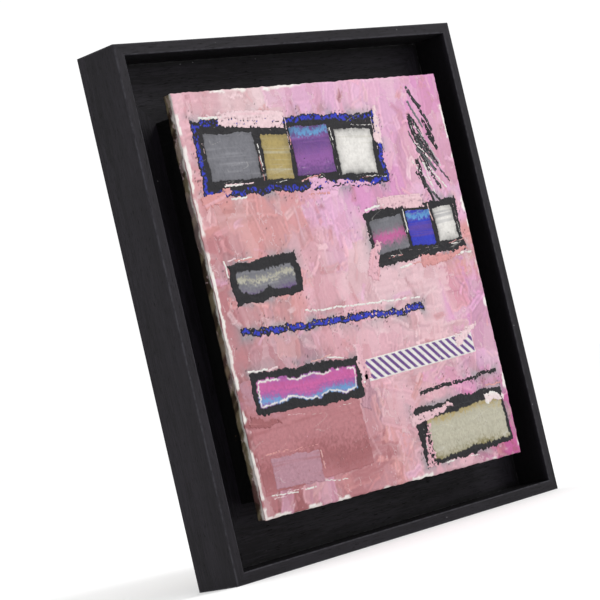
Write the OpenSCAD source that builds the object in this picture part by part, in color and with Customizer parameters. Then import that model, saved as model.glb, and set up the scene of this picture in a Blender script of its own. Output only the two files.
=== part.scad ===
// A floating tray frame with a picture on a thin board.
// Four mitred L-section rails make the tray. The board stands on a cradle of four
// battens, clear of the rails all round. Two D-rings on the back hang the frame.
// Millimetres. +X is the viewer's right, +Y runs from the front to the wall, +Z is up.
// The origin is under the middle of the object, on the surface that it stands on.

/* [Frame] */
// Overall width of the tray
frame_w = 320; // [300:1:330]
// Overall height of the tray
frame_h = 340; // [320:1:350]
// Depth of the tray, from the lip to the back face
frame_d = 36; // [36:1:40]
// Thickness of the upright wall, seen from the front as the lip
wall = 7.5; // [6:0.5:10]
// Depth from the lip to the base that the picture floats above
tray_depth = 28; // [24:1:28]
// Width of one rail, from its outside to the edge of the back opening
rail_w = 58; // [57:1:64]
// Radius of the eased edges
ease_r = 0.8; // [0.4:0.1:1.5]

/* [Picture] */
// Width of the painted board
board_w = 253; // [250:1:262]
// Height of the painted board
board_h = 271; // [270:1:280]
// Thickness of the painted board
board_t = 7; // [4:0.5:8]
// How far the board stands in front of the lip
board_proud = 3; // [1:0.5:4]
// Turn of the picture in the tray, clockwise from the front, in degrees
picture_turn = 0.5; // [0:0.1:1]
// How far the middle of the picture sits below the middle of the tray
picture_drop = 1.2; // [0:0.2:1.6]
// Distance from the edge of the board to the cradle behind it
cradle_inset = 12; // [10:1:13]
// Width of a cradle batten
batten_w = 20; // [16:1:24]

/* [Fixings] */
// Length of the screws that hold the cradle to the rails
panel_screw_l = 25; // [20:1:26]
// Radius of those screws
panel_screw_r = 1.75; // [1.5:0.25:2]
// Length of one leg of a corner nail
nail_leg = 6; // [4:0.5:8]
// Thickness of the corner nail's steel strip
nail_t = 0.6; // [0.4:0.1:0.8]
// Height of a corner nail
nail_h = 7; // [5:0.5:7]

/* [Hangers] */
// Height of the ring's pivot above the bottom of the tray, as a share of the height
hanger_share = 0.75; // [0.6:0.01:0.8]
// Width of the folded strap
strap_w = 9; // [8:0.5:10]
// Thickness of the strap's sheet
sheet_t = 0.9; // [0.7:0.1:1]
// Distance from the ring's pivot to the hanger's screw
strap_reach = 16; // [15.5:0.5:18]
// Radius of the ring's wire
wire_r = 1.1; // [1:0.1:1.2]
// Clear width inside the ring
ring_inner_w = 14; // [13:0.5:16]
// Clear height inside the ring
ring_inner_h = 9; // [8.5:0.5:10]

/* [Bumpers] */
// Radius of a wall bumper where it is stuck on
bumper_r = 6; // [5:0.5:8]
// Thickness of a wall bumper
bumper_t = 5; // [4.5:0.5:6]

/* [Hidden] */
$fn = 64;

// Places along the depth, with the whole object centred on y = 0.
total_d = board_proud + frame_d + bumper_t;
board_y = -total_d / 2;
lip_y = board_y + board_proud;
base_y = lip_y + tray_depth;
back_y = lip_y + frame_d;
mid_z = frame_h / 2;

// Slack that lets a cutting shape pass beyond the face it cuts.
over = 1;
ease_steps = 6;

// The cradle fills the space between the board and the base.
cradle_y = board_y + board_t;
batten_t = base_y - cradle_y;
cradle_w = board_w - 2 * cradle_inset;
cradle_h = board_h - 2 * cradle_inset;

// Screws through the base stand midway in its overlap with the battens.
overlap_x = cradle_w / 2 - (frame_w / 2 - rail_w);
overlap_z = cradle_h / 2 - (frame_h / 2 - rail_w);
screw_x = cradle_w / 2 - overlap_x / 2;
screw_z = cradle_h / 2 - overlap_z / 2;
screw_side_share = 0.3;
screw_end_share = 0.28;
screw_side_step = cradle_h * screw_side_share;
screw_end_step = cradle_w * screw_end_share;

// Countersunk and round heads, as shares of the screw's radius.
sunk_head_share = 1.95;
sunk_height_share = 1.1;
cross_span_share = 1.2;
sunk_head_r = panel_screw_r * sunk_head_share;
sunk_head_h = panel_screw_r * sunk_height_share;
tip_r = 0.3;
tip_h = 3;
screw_slack = 0.15;
pilot_slack = 0.02;
cross_w = 0.9;
cross_depth = 1.2;

// Corner nails stand on the mitre at these distances in from both outer faces.
nail_places = [24, 44];
nail_sunk = 0.5;

// The ring's pivot is the middle of the strap's rolled eye.
eye_slack = 0.06;
eye_r = wire_r + eye_slack;
eye_outer_r = eye_r + sheet_t;
pivot_x = frame_w / 2 - rail_w / 2;
pivot_y = back_y + eye_outer_r;
pivot_z = frame_h * hanger_share;
strap_end_r = strap_w / 2;
strap_fold_t = 2 * sheet_t;

// The ring's centre line: a bar, two tight bends, short legs and a half circle.
ring_arc_r = ring_inner_w / 2 + wire_r;
ring_bend_r = 2;
wire_facets = 32;
ring_leg = ring_inner_h + 2 * wire_r - ring_arc_r;
ring_lean = asin((pivot_y - back_y - wire_r - eye_slack) / (ring_leg + ring_arc_r));

// The round-headed screw of a hanger.
hanger_screw_r = 1.5;
hanger_screw_l = 9;
hanger_hole_slack = 0.2;
hanger_hole_r = hanger_screw_r + hanger_hole_slack;
pan_r = 2.9;
pan_h = 1.9;
pan_edge_h = 0.8;
pan_step = 15;

// Bumpers sit near the bottom corners of the back.
bumper_inset = 13;
bumper_taper = 1;
bumper_top_r = bumper_r - bumper_taper;

// ---- Places that several pieces share ----

// Points of a quarter turn or any other arc about a centre.
function arc(centre, r, from, to) = [
    for (i = [0:ease_steps])
        centre + r * [cos(from + (to - from) * i / ease_steps), sin(from + (to - from) * i / ease_steps)]
];

// Everything on the picture turns with it about its own middle.
module on_picture() {
    translate([0, 0, mid_z - picture_drop]) rotate([0, picture_turn, 0]) children();
}

// Puts a child, drawn for the bottom-left corner with +X and +Z inwards, at one corner.
module at_corner(right, top) {
    translate([right ? frame_w / 2 : -frame_w / 2, 0, top ? frame_h : 0])
        mirror([right ? 1 : 0, 0, 0])
            mirror([0, 0, top ? 1 : 0])
                children();
}

// Two screws through each rail, on the picture's own grid.
module at_panel_screws() {
    on_picture() {
        for (side = [-1, 1], step = [-1, 1]) {
            translate([side * screw_x, back_y, step * screw_side_step]) children();
            translate([step * screw_end_step, back_y, side * screw_z]) children();
        }
    }
}

// The middle of one hanger's pivot.
module at_pivot(side) {
    translate([side * pivot_x, pivot_y, pivot_z]) children();
}

// Lays a shape that was drawn pointing up so that it points to the front.
module facing_front() {
    rotate([90, 0, 0]) children();
}

// ---- Screws ----

// A countersunk screw from its flat head at the origin, pointing up.
module sunk_screw_shape(slack) {
    rotate_extrude()
        polygon([
            [0, 0],
            [sunk_head_r + slack, 0],
            [panel_screw_r + slack, sunk_head_h],
            [panel_screw_r + slack, panel_screw_l - tip_h],
            [tip_r + slack, panel_screw_l + slack],
            [0, panel_screw_l + slack]
        ]);
}

// A cross recess that goes into a head along +Z.
module cross_recess(span) {
    for (turn = [0, 90])
        rotate([0, 0, turn])
            translate([-span / 2, -cross_w / 2, -over])
                cube([span, cross_w, over + cross_depth]);
}

// A round-headed screw: the underside of its head is at the origin, its shank points up.
module pan_screw_shape(slack) {
    shank_r = hanger_screw_r + slack;
    rotate_extrude()
        polygon(concat(
            [[0, hanger_screw_l + slack], [tip_r + slack, hanger_screw_l + slack]],
            [[shank_r, hanger_screw_l - tip_h], [shank_r, 0], [pan_r, 0]],
            [for (a = [0:pan_step:90]) [pan_r * cos(a), -pan_edge_h - (pan_h - pan_edge_h) * sin(a)]]
        ));
}

// The hole that a hanger's screw cuts in the rail.
module hanger_pilot(side) {
    at_pivot(side)
        translate([0, strap_fold_t - eye_outer_r, -strap_reach])
            facing_front() pan_screw_shape(pilot_slack);
}

// ---- Rails ----

// The L section: x runs inwards from the outside, y runs from the lip to the back.
module rail_section() {
    translate([0, lip_y])
        polygon(concat(
            arc([ease_r, ease_r], ease_r, 180, 270),
            arc([wall - ease_r, ease_r], ease_r, 270, 360),
            [[wall, tray_depth], [rail_w, tray_depth], [rail_w, frame_d]],
            arc([ease_r, frame_d - ease_r], ease_r, 90, 180)
        ));
}

// One corner nail: a strip bent square, its bend on the mitre, its legs along the rails.
module corner_nail(extra) {
    translate([0, back_y - nail_sunk + extra, 0])
        facing_front()
            linear_extrude(nail_h + extra)
                polygon([
                    [0, 0], [nail_leg, 0], [nail_leg, nail_t],
                    [nail_t, nail_t], [nail_t, nail_leg], [0, nail_leg]
                ]);
}

module nails_at_corner(right, top, extra) {
    at_corner(right, top)
        for (place = nail_places)
            translate([place, 0, place]) corner_nail(extra);
}

// A rail of one length with both ends mitred, drawn as the bottom rail about x = 0.
module mitred_rail(length) {
    inner = length / 2 - rail_w;
    intersection() {
        rotate([0, -90, 0]) linear_extrude(length, center = true) rail_section();
        translate([0, back_y + over, 0])
            facing_front()
                linear_extrude(frame_d + 2 * over)
                    polygon([
                        [-length / 2 - over, -over], [length / 2 + over, -over],
                        [inner - over, rail_w + over], [-inner + over, rail_w + over]
                    ]);
    }
}

// Cuts every fixing's hole out of a rail.
module drilled() {
    difference() {
        children();
        at_panel_screws() facing_front() sunk_screw_shape(screw_slack);
        for (side = [-1, 1]) hanger_pilot(side);
        for (right = [false, true], top = [false, true])
            nails_at_corner(right, top, nail_sunk + over);
    }
}

module rail_bottom() {
    color([0.16, 0.15, 0.17]) drilled() mitred_rail(frame_w);
}

module rail_top() {
    color([0.18, 0.17, 0.19])
        drilled() translate([0, 0, frame_h]) mirror([0, 0, 1]) mitred_rail(frame_w);
}

module rail_left() {
    color([0.2, 0.18, 0.2])
        drilled() translate([-frame_w / 2, 0, mid_z]) rotate([0, 90, 0]) mitred_rail(frame_h);
}

module rail_right() {
    color([0.14, 0.13, 0.15])
        drilled() translate([frame_w / 2, 0, mid_z]) rotate([0, -90, 0]) mitred_rail(frame_h);
}

module corner_nails_top_left() {
    color("silver") nails_at_corner(false, true, 0);
}

module corner_nails_top_right() {
    color("silver") nails_at_corner(true, true, 0);
}

module corner_nails_bottom_left() {
    color("silver") nails_at_corner(false, false, 0);
}

module corner_nails_bottom_right() {
    color("silver") nails_at_corner(true, false, 0);
}

// ---- Picture ----

module art_panel() {
    color([0.88, 0.68, 0.7])
        on_picture()
            translate([-board_w / 2, board_y, -board_h / 2])
                cube([board_w, board_t, board_h]);
}

// A batten of the cradle, drawn as the upper one: x and z give its size, z its lower edge.
module batten(length, lower) {
    color([0.72, 0.56, 0.38])
        difference() {
            on_picture()
                translate([-length / 2, cradle_y, lower])
                    cube([length, batten_t, batten_w]);
            at_panel_screws() facing_front() sunk_screw_shape(pilot_slack);
        }
}

// A side batten fits between the upper and the lower one.
module side_batten(left_edge) {
    side_h = cradle_h - 2 * batten_w;
    color([0.68, 0.52, 0.35])
        difference() {
            on_picture()
                translate([left_edge, cradle_y, -side_h / 2])
                    cube([batten_w, batten_t, side_h]);
            at_panel_screws() facing_front() sunk_screw_shape(pilot_slack);
        }
}

module batten_top() {
    batten(cradle_w, cradle_h / 2 - batten_w);
}

module batten_bottom() {
    batten(cradle_w, -cradle_h / 2);
}

module batten_left() {
    side_batten(-cradle_w / 2);
}

module batten_right() {
    side_batten(cradle_w / 2 - batten_w);
}

module panel_screws() {
    color("goldenrod")
        at_panel_screws()
            facing_front()
                difference() {
                    sunk_screw_shape(0);
                    cross_recess(sunk_head_r * cross_span_share);
                }
}

// ---- Hangers ----

// The folded strap seen along the pivot: x runs to the wall, y runs up, the eye at the origin.
module strap_section() {
    web = sheet_t / 2;
    difference() {
        union() {
            circle(r = eye_outer_r);
            translate([-eye_outer_r, -strap_reach - strap_end_r])
                square([strap_fold_t, strap_reach + strap_end_r - eye_r - web]);
            translate([-eye_outer_r, -strap_reach - strap_end_r])
                square([sheet_t, strap_reach + strap_end_r]);
            translate([-eye_outer_r, -eye_outer_r - sheet_t])
                square([eye_outer_r, 2 * sheet_t]);
        }
        circle(r = eye_r);
        translate([sheet_t - eye_outer_r + 2 * sheet_t, -eye_outer_r - sheet_t])
            circle(r = sheet_t);
    }
}

// The strap's outline from behind: round at the lower end, square at the eye.
module strap_outline() {
    translate([0, -strap_reach]) circle(r = strap_end_r);
    translate([-strap_w / 2, -strap_reach]) square([strap_w, strap_reach + eye_outer_r + over]);
}

module hanger_strap(side) {
    color("gainsboro")
        at_pivot(side)
            difference() {
                intersection() {
                    rotate([90, 0, 90]) linear_extrude(strap_w, center = true) strap_section();
                    translate([0, eye_outer_r + over, 0])
                        facing_front() linear_extrude(2 * eye_outer_r + 2 * over) strap_outline();
                }
                translate([0, eye_outer_r, -strap_reach])
                    facing_front() cylinder(r = hanger_hole_r, h = 2 * eye_outer_r + over);
            }
}

// One bend of the wire: a part of a torus about the Z axis.
module wire_bend(r, from, sweep) {
    rotate([0, 0, from])
        rotate_extrude(angle = sweep) translate([r, 0]) circle(r = wire_r, $fn = wire_facets);
}

// A straight length of wire that starts at the origin and runs along +X.
module wire_run(length) {
    rotate([0, 90, 0]) cylinder(r = wire_r, h = length, $fn = wire_facets);
}

// The ring lies in the XY plane here: its bar on the X axis, its round end towards +Y.
module ring_shape() {
    bar = 2 * (ring_arc_r - ring_bend_r);
    translate([-bar / 2, 0, 0]) wire_run(bar);
    for (side = [0, 1])
        mirror([side, 0, 0]) {
            translate([bar / 2, ring_bend_r, 0]) wire_bend(ring_bend_r, -90, 90);
            translate([ring_arc_r, ring_bend_r, 0])
                rotate([0, 0, 90]) wire_run(ring_leg - ring_bend_r);
        }
    translate([0, ring_leg, 0]) wire_bend(ring_arc_r, 0, 180);
}

// At rest the ring stands up and leans on the back of the rail.
module d_ring(side) {
    color("lightgrey") at_pivot(side) rotate([90 + ring_lean, 0, 0]) ring_shape();
}

module hanger_screw(side) {
    color("whitesmoke")
        at_pivot(side)
            translate([0, strap_fold_t - eye_outer_r, -strap_reach])
                facing_front()
                    difference() {
                        pan_screw_shape(0);
                        translate([0, 0, -pan_h]) cross_recess(pan_r * cross_span_share);
                    }
}

module hanger_strap_left() {
    hanger_strap(-1);
}

module hanger_strap_right() {
    hanger_strap(1);
}

module d_ring_left() {
    d_ring(-1);
}

module d_ring_right() {
    d_ring(1);
}

module hanger_screw_left() {
    hanger_screw(-1);
}

module hanger_screw_right() {
    hanger_screw(1);
}

// ---- Bumpers ----

module bumper(side) {
    color([0.1, 0.1, 0.1])
        translate([side * (frame_w / 2 - bumper_inset), back_y, bumper_inset])
            rotate([-90, 0, 0]) cylinder(r1 = bumper_r, r2 = bumper_top_r, h = bumper_t);
}

module bumper_left() {
    bumper(-1);
}

module bumper_right() {
    bumper(1);
}

rail_top();
rail_bottom();
rail_left();
rail_right();
corner_nails_top_left();
corner_nails_top_right();
corner_nails_bottom_left();
corner_nails_bottom_right();
art_panel();
batten_top();
batten_bottom();
batten_left();
batten_right();
panel_screws();
hanger_strap_left();
hanger_strap_right();
d_ring_left();
d_ring_right();
hanger_screw_left();
hanger_screw_right();
bumper_left();
bumper_right();
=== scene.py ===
import math

import bpy
import numpy as np
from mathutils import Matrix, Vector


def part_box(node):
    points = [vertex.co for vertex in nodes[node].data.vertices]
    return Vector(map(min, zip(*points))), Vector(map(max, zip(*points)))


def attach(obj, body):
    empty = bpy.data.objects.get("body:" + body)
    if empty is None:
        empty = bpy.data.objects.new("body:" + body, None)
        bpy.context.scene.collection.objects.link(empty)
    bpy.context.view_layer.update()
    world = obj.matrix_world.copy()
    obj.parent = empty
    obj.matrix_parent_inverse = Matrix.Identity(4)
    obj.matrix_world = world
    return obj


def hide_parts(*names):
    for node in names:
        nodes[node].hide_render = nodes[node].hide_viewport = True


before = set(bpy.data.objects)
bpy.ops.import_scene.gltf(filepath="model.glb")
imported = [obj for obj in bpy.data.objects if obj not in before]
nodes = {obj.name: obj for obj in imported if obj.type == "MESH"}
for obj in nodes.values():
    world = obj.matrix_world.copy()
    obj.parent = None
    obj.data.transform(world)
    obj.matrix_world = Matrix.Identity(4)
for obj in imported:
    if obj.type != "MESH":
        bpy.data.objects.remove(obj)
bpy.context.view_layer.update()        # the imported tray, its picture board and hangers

# Places that everything else is worked out from
railLow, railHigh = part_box("rail_bottom")
lipY, backY = railLow.y, railHigh.y
halfWidth = railHigh.x
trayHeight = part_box("rail_top")[1].z
trayMiddle = trayHeight / 2
mm = 0.001


# Adds one shader node; inputs are values or sockets, by name or number
def addNode(tree, kind, inputs=None, **settings):
    made = tree.nodes.new("ShaderNode" + kind)
    for name, value in settings.items():
        setattr(made, name, value)
    for key, value in (inputs or {}).items():
        if isinstance(value, bpy.types.NodeSocket):
            tree.links.new(value, made.inputs[key])
        else:
            made.inputs[key].default_value = value
    return made


# One sum on values or sockets
def calc(tree, operation, *values, clamp=False):
    return addNode(tree, "Math", dict(enumerate(values)), operation=operation, use_clamp=clamp).outputs[0]


# Takes low..high to toLow..toHigh, held inside that range, with a soft start and end
def remap(tree, value, low, high, toLow=0.0, toHigh=1.0):
    made = addNode(tree, "MapRange", {"Value": value, "From Min": low, "From Max": high,
                                      "To Min": toLow, "To Max": toHigh},
                   interpolation_type="SMOOTHSTEP")
    return made.outputs["Result"]


# Mixes two colours by a share
def mixColours(tree, share, first, second, way="MIX"):
    made = addNode(tree, "Mix", {0: share, 6: first, 7: second}, data_type="RGBA", blend_type=way)
    return made.outputs[2]


# Lays a colour over another where a mask is, this strongly
def overlay(tree, colour, mask, strength, over):
    return mixColours(tree, calc(tree, "MULTIPLY", mask, strength), colour, over)


# A value times a second plus a third
def scaled(tree, value, times, plus, clamp=False):
    return calc(tree, "MULTIPLY_ADD", value, times, plus, clamp=clamp)


def grey(tree, value):
    return addNode(tree, "CombineColor", {0: value, 1: value, 2: value}).outputs[0]


def noise(tree, vector, scale, detail=2.0, rough=0.5):
    made = addNode(tree, "TexNoise", {"Vector": vector, "Scale": scale, "Detail": detail, "Roughness": rough})
    return made.outputs["Fac"]


# Stretches and turns a set of coordinates
def placed(tree, vector, scale=(1, 1, 1), turn=(0, 0, 0), shift=(0, 0, 0)):
    made = addNode(tree, "Mapping", {"Vector": vector, "Scale": scale, "Rotation": turn, "Location": shift})
    return made.outputs["Vector"]


def objectCoords(tree):
    return addNode(tree, "TexCoord").outputs["Object"]


# Starts a node group with named inputs and outputs
def newGroup(name, takes, gives):
    group = bpy.data.node_groups.new(name, "ShaderNodeTree")
    for label, kind, value in takes:
        socket = group.interface.new_socket(label, in_out="INPUT", socket_type="NodeSocket" + kind)
        if value is not None:
            socket.default_value = value
    for label, kind in gives:
        group.interface.new_socket(label, in_out="OUTPUT", socket_type="NodeSocket" + kind)
    return group, group.nodes.new("NodeGroupInput").outputs, group.nodes.new("NodeGroupOutput").inputs


def useGroup(tree, group, **values):
    return addNode(tree, "Group", values, node_tree=group).outputs


# A material with its Principled shader, and the tree to build in
def newMaterial(name, **constants):
    made = bpy.data.materials.new(name)
    made.use_nodes = True
    tree = made.node_tree
    shader = tree.nodes["Principled BSDF"]
    for label, value in constants.items():
        shader.inputs[label.replace("_", " ")].default_value = value
    return made, tree, shader


def connect(tree, socket, shader, label):
    tree.links.new(socket, shader.inputs[label])


# Plugs a colour, a roughness and a bump into the shader
def dress(tree, shader, colour, rough, height, strength, distance):
    connect(tree, colour, shader, "Base Color")
    connect(tree, rough, shader, "Roughness")
    bump = addNode(tree, "Bump", {"Height": height, "Strength": strength, "Distance": distance})
    connect(tree, bump.outputs["Normal"], shader, "Normal")


def addObject(name, data):
    made = bpy.data.objects.new(name, data)
    bpy.context.scene.collection.objects.link(made)
    return made


# 0-255 display colour to the linear values that shaders use
def shade(red, green, blue):
    shown = np.array([red, green, blue]) / 255
    return np.where(shown <= 0.04045, shown / 12.92, ((shown + 0.055) / 1.055) ** 2.4)


def rgba(colour):
    return (*[float(part) for part in colour], 1.0)


# Open-pored wood with its grain along z: long fibres, short dark pores, slow bands
def makeGrainGroup():
    group, given, out = newGroup(
        "openGrain",
        [("Vector", "Vector", None), ("Fibre Scale", "Float", 1500.0), ("Pore Level", "Float", 0.6)],
        [("Tone", "Float"), ("Pores", "Float"), ("Height", "Float")])
    along = placed(group, given["Vector"], scale=(1, 1, 0.05))
    fibre = noise(group, along, given["Fibre Scale"], 3.0, 0.6)
    bands = noise(group, placed(group, given["Vector"], scale=(1, 1, 0.09)), 130.0, 2.0, 0.55)
    dashes = noise(group, placed(group, given["Vector"], scale=(1, 1, 0.075)), 2300.0, 1.0, 0.4)
    patches = noise(group, given["Vector"], 90.0, 1.0)
    level = calc(group, "ADD", given["Pore Level"], calc(group, "MULTIPLY", patches, 0.1))
    pores = remap(group, calc(group, "SUBTRACT", dashes, level), -0.015, 0.05)
    tone = calc(group, "ADD", calc(group, "MULTIPLY", fibre, 0.6), calc(group, "MULTIPLY", bands, 0.4))
    group.links.new(tone, out["Tone"])
    group.links.new(pores, out["Pores"])
    height = calc(group, "SUBTRACT", calc(group, "MULTIPLY", fibre, 0.45), pores)
    group.links.new(height, out["Height"])
    return group


# Marks that follow the tray's own edges: eased arrises, mitres, the corner inside, and a painted shade in
# that corner and down the inner walls
def makeTrayMarksGroup(tray):
    group, given, out = newGroup(
        "trayMarks", [("Vector", "Vector", None)],
        [("Arris", "Float"), ("Mitre", "Float"), ("Inner Corner", "Float"), ("Painted Shade", "Float")])
    parts = addNode(group, "SeparateXYZ", {0: given["Vector"]}).outputs
    sideways = calc(group, "SUBTRACT", halfWidth, calc(group, "ABSOLUTE", parts["X"]))
    fromMiddle = calc(group, "ABSOLUTE", calc(group, "SUBTRACT", parts["Z"], trayMiddle))
    upright = calc(group, "SUBTRACT", trayMiddle, fromMiddle)
    inward = calc(group, "MINIMUM", sideways, upright)    # distance in from the nearest outer face
    depth = calc(group, "SUBTRACT", parts["Y"], lipY)
    toWall = calc(group, "ABSOLUTE", calc(group, "SUBTRACT", inward, tray["wall"]))
    toBack = calc(group, "SUBTRACT", backY, parts["Y"])
    outerLip = calc(group, "MAXIMUM", inward, depth)
    innerLip = calc(group, "MAXIMUM", toWall, depth)
    outerBack = calc(group, "MAXIMUM", inward, toBack)
    outerCorner = calc(group, "MAXIMUM", sideways, upright)
    nearest = calc(group, "MINIMUM", calc(group, "MINIMUM", outerLip, innerLip),
                   calc(group, "MINIMUM", outerBack, outerCorner))
    group.links.new(remap(group, nearest, tray["arrisFull"], tray["arrisEnd"], 1, 0), out["Arris"])
    gap = calc(group, "ABSOLUTE", calc(group, "SUBTRACT", sideways, upright))
    group.links.new(remap(group, gap, tray["mitreFull"], tray["mitreEnd"], 1, 0), out["Mitre"])
    toBase = calc(group, "ABSOLUTE", calc(group, "SUBTRACT", depth, tray["depth"]))
    inner = calc(group, "MAXIMUM", toBase, toWall)
    group.links.new(remap(group, inner, 0.0, tray["cornerEnd"], 1, 0), out["Inner Corner"])
    # painted shade: darkest in the corner inside, and on the inner walls deeper into the tray
    cornerShade = remap(group, inner, 0.3 * mm, tray["cornerShadeEnd"], 0.85, 0)
    onWall = remap(group, toWall, 0.0, 0.2 * mm, 1, 0)
    wallShade = calc(group, "MULTIPLY", onWall, remap(group, depth, 1 * mm, 5 * mm))
    group.links.new(calc(group, "MAXIMUM", cornerShade, calc(group, "MULTIPLY", wallShade, 0.7)), out["Painted Shade"])
    return group


# Sparse specks of dust and a faint cloudiness
def makeDustGroup():
    group, given, out = newGroup(
        "dust", [("Vector", "Vector", None), ("Specks", "Float", 0.5)],
        [("Mask", "Float"), ("Haze", "Float")])
    cells = addNode(group, "TexVoronoi", {"Vector": given["Vector"], "Scale": 260.0}, feature="F1")
    chance = addNode(group, "SeparateColor", {0: cells.outputs["Color"]}).outputs[0]
    limit = calc(group, "SUBTRACT", 1.0, calc(group, "MULTIPLY", given["Specks"], 0.1))
    rare = calc(group, "GREATER_THAN", chance, limit)
    spot = remap(group, cells.outputs["Distance"], 0.03, 0.09, 1, 0)
    group.links.new(calc(group, "MULTIPLY", rare, spot), out["Mask"])
    group.links.new(noise(group, given["Vector"], 35.0, 3.0, 0.6), out["Haze"])
    return group


# The board's middle, directions and size, from the CAD board, which is turned a little
def boardAxes():
    points = np.array([v.co for v in nodes["art_panel"].data.vertices])
    flat = points[:, [0, 2]]
    topLeft, topRight = flat[flat[:, 1].argmax()], flat[flat[:, 0].argmax()]
    bottomLeft = flat[flat[:, 0].argmin()]
    across, upward = topRight - topLeft, topLeft - bottomLeft
    width, height = np.linalg.norm(across), np.linalg.norm(upward)
    return (bottomLeft + topRight) / 2, across / width, upward / height, width, height


boardMiddle, acrossAxis, upAxis, boardWidth, boardHeight = boardAxes()
boardLow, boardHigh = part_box("art_panel")
boardTurn = math.atan2(acrossAxis[1], acrossAxis[0])
cradleReach = np.array([v.co for v in nodes["batten_right"].data.vertices])[:, [0, 2]] - boardMiddle
cradleRise = np.array([v.co for v in nodes["batten_top"].data.vertices])[:, [0, 2]] - boardMiddle
cradleHalf = float((cradleReach @ acrossAxis).max()), float((cradleRise @ upAxis).max())


# Object coordinates turned and centred on the board: across in X, up in Z
def boardCoords(tree):
    shift = (-float(boardMiddle @ acrossAxis), 0, -float(boardMiddle @ upAxis))
    return placed(tree, objectCoords(tree), turn=(0, boardTurn, 0), shift=shift)


tray = {
    "wall": 7.5 * mm,        # thickness of the upright wall
    "depth": 28 * mm,        # from the lip to the base
    "arrisFull": 0.35 * mm,  # the stain is rubbed, and a highlight painted, this far from an edge
    "arrisEnd": 1.1 * mm,
    "mitreFull": 0.03 * mm,  # width of the joint line
    "mitreEnd": 0.16 * mm,
    "cornerEnd": 0.9 * mm,
    "cornerShadeEnd": 4.5 * mm,     # painted shade reaches this far from the corner inside
    "stainDark": (0.0048, 0.0039, 0.0058),
    "stainLight": (0.0116, 0.0097, 0.0140),
    # colour of the painted shade in the corner inside the tray and on its lower inner walls
    "paintedTrayShade": (0.0006, 0.0005, 0.0006),
    "pore": (0.0015, 0.0013, 0.0015),
    "joint": (0.0008, 0.0008, 0.0008),
    # rubbed-through stain on the arrises, made lighter and bluish as a painted highlight where light catches
    # the eased edges
    "rubbed": (0.042, 0.041, 0.049),
    "dustColour": (0.42, 0.42, 0.44),
    "boldness": 1.6,         # how much more the grain shows on the base
}
pine = {
    "early": (0.56, 0.39, 0.23),
    "late": (0.42, 0.255, 0.13),
    "pore": (0.22, 0.13, 0.07),
    "painted": (0.0012, 0.0011, 0.0013),
    "lapLeast": -0.7 * mm,   # the black's edge on the back, in from the batten's outer face
    "lapSpread": 2.4 * mm,   # how far that edge wanders beyond it
}
bumper = {"rubber": (0.012, 0.012, 0.013), "bloom": (0.035, 0.035, 0.037)}
plate = {"dust": (0.4, 0.4, 0.4)}
backBoard = {"dark": (0.105, 0.055, 0.026), "light": (0.205, 0.118, 0.062), "raised": (0.30, 0.19, 0.11)}
grainGroup = makeGrainGroup()
marksGroup = makeTrayMarksGroup(tray)
dustGroup = makeDustGroup()


# Black-stained open-pored wood; turn and shift give each rail its own piece of timber
def makeBlackWood(name, turn, shift):
    made, tree, shader = newMaterial(name, Specular_IOR_Level=0.17)
    here = objectCoords(tree)
    grain = useGroup(tree, grainGroup, Vector=placed(tree, here, turn=turn, shift=shift))
    marks = useGroup(tree, marksGroup, Vector=here)
    dust = useGroup(tree, dustGroup, Vector=here, Specks=0.6)
    tone = remap(tree, grain["Tone"], 0.34, 0.68)
    sunk = addNode(tree, "SeparateXYZ", {0: here}).outputs["Y"]
    inTray = remap(tree, sunk, lipY + 0.7 * tray["depth"], lipY + 0.95 * tray["depth"])
    bold = scaled(tree, inTray, tray["boldness"], 1.0)
    tone = scaled(tree, calc(tree, "SUBTRACT", tone, 0.5), bold, 0.5)
    colour = mixColours(tree, tone, rgba(tray["stainDark"]), rgba(tray["stainLight"]))
    colour = overlay(tree, colour, grain["Pores"], 0.8, rgba(tray["pore"]))
    # painted shade laid over the corner inside the tray and the lower inner walls
    colour = mixColours(tree, marks["Painted Shade"], colour, rgba(tray["paintedTrayShade"]))
    uneven = remap(tree, noise(tree, here, 260.0, 3.0, 0.65), 0.36, 0.62)
    # rubbed stain on the arrises, partly real wear and partly a painted highlight along the eased edges
    rubbed = calc(tree, "MULTIPLY", marks["Arris"], scaled(tree, uneven, 0.55, 0.2))
    colour = mixColours(tree, rubbed, colour, rgba(tray["rubbed"]))
    colour = overlay(tree, colour, marks["Mitre"], 0.6, rgba(tray["joint"]))
    settled = calc(tree, "MULTIPLY", marks["Inner Corner"], calc(tree, "MULTIPLY", uneven, 0.05))
    settled = calc(tree, "MAXIMUM", settled, dust["Mask"])
    colour = mixColours(tree, settled, colour, rgba(tray["dustColour"]))
    rough = scaled(tree, grain["Tone"], -0.22, 0.66)
    rough = scaled(tree, grain["Pores"], 0.25, rough)
    rough = scaled(tree, dust["Haze"], 0.08, rough, clamp=True)
    dress(tree, shader, colour, rough, grain["Height"], 0.45, 0.12 * mm)
    return made


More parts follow.
